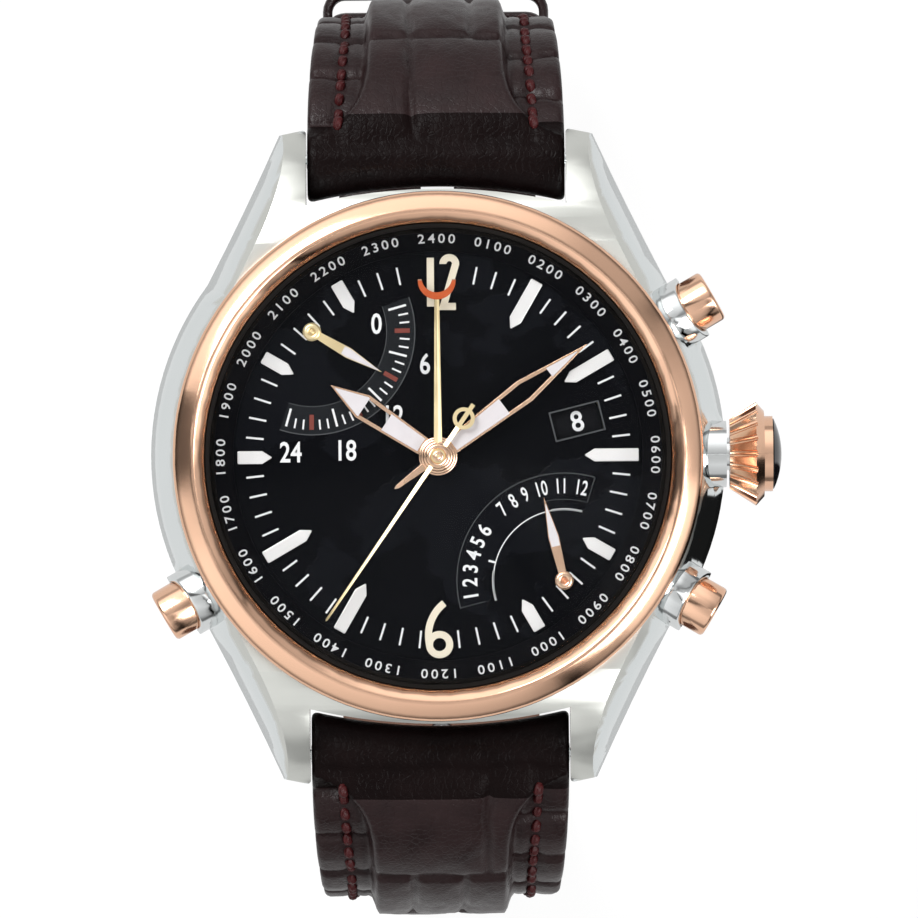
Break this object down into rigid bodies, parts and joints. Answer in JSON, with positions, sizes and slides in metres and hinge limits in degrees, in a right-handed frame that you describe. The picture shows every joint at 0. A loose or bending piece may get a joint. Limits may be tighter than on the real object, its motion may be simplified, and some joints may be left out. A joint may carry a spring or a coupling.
{
  "type": "world time wristwatch",
  "caption": "World time wristwatch with a steel case, rose gold bezel, crown and pushers, black dial with sub-dials and an embossed leather strap.",
  "frame": {"origin": "centre of the case back's outer face, which rests on the wrist", "axes": "+Z out of the dial, +Y towards 12 o'clock, +X towards the crown at 3 o'clock"},
  "size_m": [0.0485, 0.0732, 0.072],
  "materials": {
    "polished_steel": "polished",
    "rose_gold": "polished",
    "yellow_gold": "polished",
    "crystal_glass": "clear polished",
    "black_gasket": "matte",
    "black_ring": "satin",
    "black_dial": "gloss lacquer",
    "marker_silver": "polished with luminous filling",
    "numeral_gold": "polished",
    "holder_plastic": "moulded",
    "plate_brass": "satin",
    "steel_part": "satin",
    "wheel_brass": "satin",
    "coil_copper": "enamelled wire",
    "battery_steel": "satin",
    "circuit_green": "solder mask",
    "date_white": "printed",
    "black_stone": "polished",
    "strap_leather": "embossed, glossy"
  },
  "bodies": {
    "case": {"case_body": "polished_steel", "bezel": "rose_gold", "crystal": "crystal_glass", "crystal_gasket": "black_gasket", "number_ring": "black_ring", "dial": "black_dial", "hour_markers": "marker_silver", "dial_numerals": "numeral_gold", "case_back": "steel_part", "case_back_gasket": "black_gasket", "case_back_screws": "polished_steel", "movement_holder": "holder_plastic", "main_plate": "plate_brass", "train_bridge": "plate_brass", "plate_screws": "polished_steel", "motor_stators": "steel_part", "motor_coils": "coil_copper", "battery": "battery_steel", "battery_clamp": "steel_part", "circuit_board": "circuit_green", "quartz_resonator": "polished_steel", "crown_tube": "polished_steel", "crown_gasket": "black_gasket", "pusher_collars": "polished_steel", "pusher_springs": "steel_part", "spring_bars": "polished_steel"},
    "second": {"second_wheel": "wheel_brass", "second_hand": "rose_gold"},
    "rotor": {"rotor": "steel_part"},
    "intermediate": {"intermediate_wheel": "wheel_brass"},
    "third": {"third_wheel": "wheel_brass"},
    "minute": {"minute_wheel": "wheel_brass", "minute_hand": "rose_gold"},
    "motion": {"motion_wheel": "wheel_brass"},
    "hour": {"hour_wheel": "wheel_brass", "hour_hand": "rose_gold"},
    "world_time": {"world_time_wheel": "wheel_brass", "world_time_hand": "rose_gold"},
    "world_time_drive": {"world_time_rotor": "steel_part"},
    "home_time": {"home_time_wheel": "wheel_brass", "home_time_hand": "yellow_gold"},
    "home_time_drive": {"home_time_rotor": "steel_part"},
    "season": {"season_wheel": "wheel_brass", "season_hand": "yellow_gold"},
    "season_drive": {"season_rotor": "steel_part"},
    "date": {"date_ring": "date_white"},
    "crown_slide": {"setting_lever": "steel_part"},
    "crown": {"crown": "rose_gold", "crown_cabochon": "black_stone", "crown_stem": "steel_part"},
    "pusher_2": {"pusher_2": "rose_gold"},
    "pusher_4": {"pusher_4": "rose_gold"},
    "pusher_8": {"pusher_8": "rose_gold"},
    "strap_12": {"strap_12": "strap_leather", "fixed_keeper": "strap_leather"},
    "free_keeper": {"free_keeper": "strap_leather"},
    "buckle": {"buckle_frame": "rose_gold", "buckle_bar": "polished_steel"},
    "tongue": {"buckle_tongue": "rose_gold"},
    "strap_6": {"strap_6": "strap_leather"}
  },
  "joints": [
    {"name": "second_hand_turn", "type": "hinge", "parent": "case", "child": "second", "pos_m": [0, 0, 0.0035], "axis": [0, 0, 1], "continuous": true},
    {"name": "rotor_turn", "type": "hinge", "parent": "case", "child": "rotor", "pos_m": [-0.004, -0.0028, 0.0035], "axis": [0, 0, 1], "continuous": true},
    {"name": "intermediate_turn", "type": "hinge", "parent": "case", "child": "intermediate", "pos_m": [-0.00216, -0.00151, 0.0035], "axis": [0, 0, 1], "continuous": true},
    {"name": "third_turn", "type": "hinge", "parent": "case", "child": "third", "pos_m": [-0.00193, 0.00162, 0.0035], "axis": [0, 0, 1], "continuous": true},
    {"name": "minute_hand_turn", "type": "hinge", "parent": "case", "child": "minute", "pos_m": [0, 0, 0.0035], "axis": [0, 0, 1], "continuous": true},
    {"name": "motion_turn", "type": "hinge", "parent": "case", "child": "motion", "pos_m": [0.00137, -0.00238, 0.0035], "axis": [0, 0, 1], "continuous": true},
    {"name": "hour_hand_turn", "type": "hinge", "parent": "case", "child": "hour", "pos_m": [0, 0, 0.0035], "axis": [0, 0, 1], "continuous": true},
    {"name": "world_time_hand_turn", "type": "hinge", "parent": "case", "child": "world_time", "pos_m": [0, 0, 0.0035], "axis": [0, 0, 1], "continuous": true},
    {"name": "world_time_rotor_turn", "type": "hinge", "parent": "case", "child": "world_time_drive", "pos_m": [0.00244, 0.00065, 0.0035], "axis": [0, 0, 1], "continuous": true},
    {"name": "home_time_hand_turn", "type": "hinge", "parent": "case", "child": "home_time", "pos_m": [-0.0096, 0.0096, 0.0035], "axis": [0, 0, 1], "range_deg": [-75.6, 46.4]},
    {"name": "home_time_rotor_turn", "type": "hinge", "parent": "case", "child": "home_time_drive", "pos_m": [-0.00696, 0.0096, 0.0035], "axis": [0, 0, 1], "range_deg": [-232.5, 378.5]},
    {"name": "season_hand_turn", "type": "hinge", "parent": "case", "child": "season", "pos_m": [0.0096, -0.0096, 0.0035], "axis": [0, 0, 1], "range_deg": [-28.4, 92.6]},
    {"name": "season_rotor_turn", "type": "hinge", "parent": "case", "child": "season_drive", "pos_m": [0.00696, -0.0096, 0.0035], "axis": [0, 0, 1], "range_deg": [-463.5, 142.5]},
    {"name": "date_ring_turn", "type": "hinge", "parent": "case", "child": "date", "pos_m": [0, 0, 0.0035], "axis": [0, 0, 1], "continuous": true},
    {"name": "crown_pull", "type": "slide", "parent": "case", "child": "crown_slide", "axis": [1, 0, 0], "range_m": [0, 0.001]},
    {"name": "crown_spin", "type": "hinge", "parent": "crown_slide", "child": "crown", "pos_m": [0.0224, 0, 0.0044], "axis": [1, 0, 0], "continuous": true},
    {"name": "pusher_2_press", "type": "slide", "parent": "case", "child": "pusher_2", "axis": [-0.866, -0.5, 0], "range_m": [0, 0.0008], "stiffness_N_per_m": 1200, "springref_m": -0.0006, "deforming": ["pusher_springs"]},
    {"name": "pusher_4_press", "type": "slide", "parent": "case", "child": "pusher_4", "axis": [-0.866, 0.5, 0], "range_m": [0, 0.0008], "stiffness_N_per_m": 1200, "springref_m": -0.0006, "deforming": ["pusher_springs"]},
    {"name": "pusher_8_press", "type": "slide", "parent": "case", "child": "pusher_8", "axis": [0.866, 0.5, 0], "range_m": [0, 0.0008], "stiffness_N_per_m": 1200, "springref_m": -0.0006, "deforming": ["pusher_springs"]},
    {"name": "strap_12_swing", "type": "hinge", "parent": "case", "child": "strap_12", "pos_m": [0, 0.0229, 0.0027], "axis": [1, 0, 0], "range_deg": [0, 90]},
    {"name": "strap_6_swing", "type": "hinge", "parent": "case", "child": "strap_6", "pos_m": [0, -0.0229, 0.0027], "axis": [-1, 0, 0], "range_deg": [0, 90]},
    {"name": "free_keeper_slide", "type": "slide", "parent": "strap_12", "child": "free_keeper", "axis": [0, 0, 1], "range_m": [0, 0.012]},
    {"name": "buckle_turn", "type": "hinge", "parent": "strap_12", "child": "buckle", "pos_m": [0, 0.0191, -0.05987], "axis": [-1, 0, 0], "range_deg": [-45, 75]},
    {"name": "tongue_turn", "type": "hinge", "parent": "buckle", "child": "tongue", "pos_m": [0, 0.0191, -0.05987], "axis": [1, 0, 0], "range_deg": [0, 90]}
  ],
  "couplings": [
    {"joint": "rotor_turn", "follows": "second_hand_turn", "ratio": 30},
    {"joint": "intermediate_turn", "follows": "second_hand_turn", "ratio": -5},
    {"joint": "third_turn", "follows": "second_hand_turn", "ratio": -0.13333},
    {"joint": "minute_hand_turn", "follows": "second_hand_turn", "ratio": 0.016667},
    {"joint": "motion_turn", "follows": "second_hand_turn", "ratio": -0.0055556},
    {"joint": "hour_hand_turn", "follows": "second_hand_turn", "ratio": 0.0013889},
    {"joint": "world_time_rotor_turn", "follows": "world_time_hand_turn", "ratio": -3.6},
    {"joint": "home_time_rotor_turn", "follows": "home_time_hand_turn", "ratio": -5},
    {"joint": "season_rotor_turn", "follows": "season_hand_turn", "ratio": -5}
  ]
}
